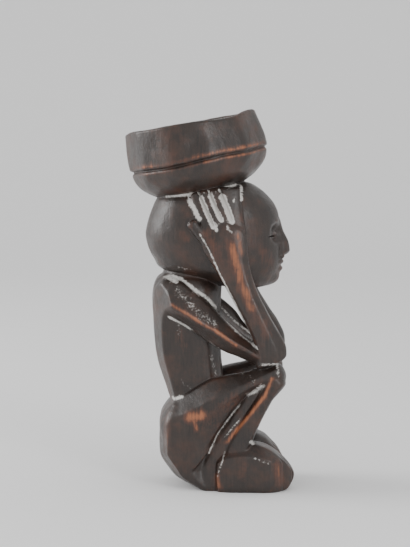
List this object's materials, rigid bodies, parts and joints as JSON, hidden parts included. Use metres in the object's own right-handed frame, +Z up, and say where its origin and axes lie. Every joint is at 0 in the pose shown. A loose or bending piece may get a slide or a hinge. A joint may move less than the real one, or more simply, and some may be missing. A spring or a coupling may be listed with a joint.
{
  "type": "figural grinding bowl",
  "caption": "Squatting wooden figure, elbows on knees and hands at the head, that carries a small open mortar bowl with a grooved band.",
  "frame": {"origin": "on the ground under the middle of the block", "axes": "+X the way the figure looks, +Y the figure's left, +Z up"},
  "size_m": [0.0839, 0.0698, 0.1883],
  "materials": {
    "dark_wood": "handled dark brown patina with a soft sheen, reddish where worn, pale dust in the grooves"
  },
  "bodies": {
    "root": {"carved_figure_bowl": "dark_wood"}
  },
  "joints": []
}
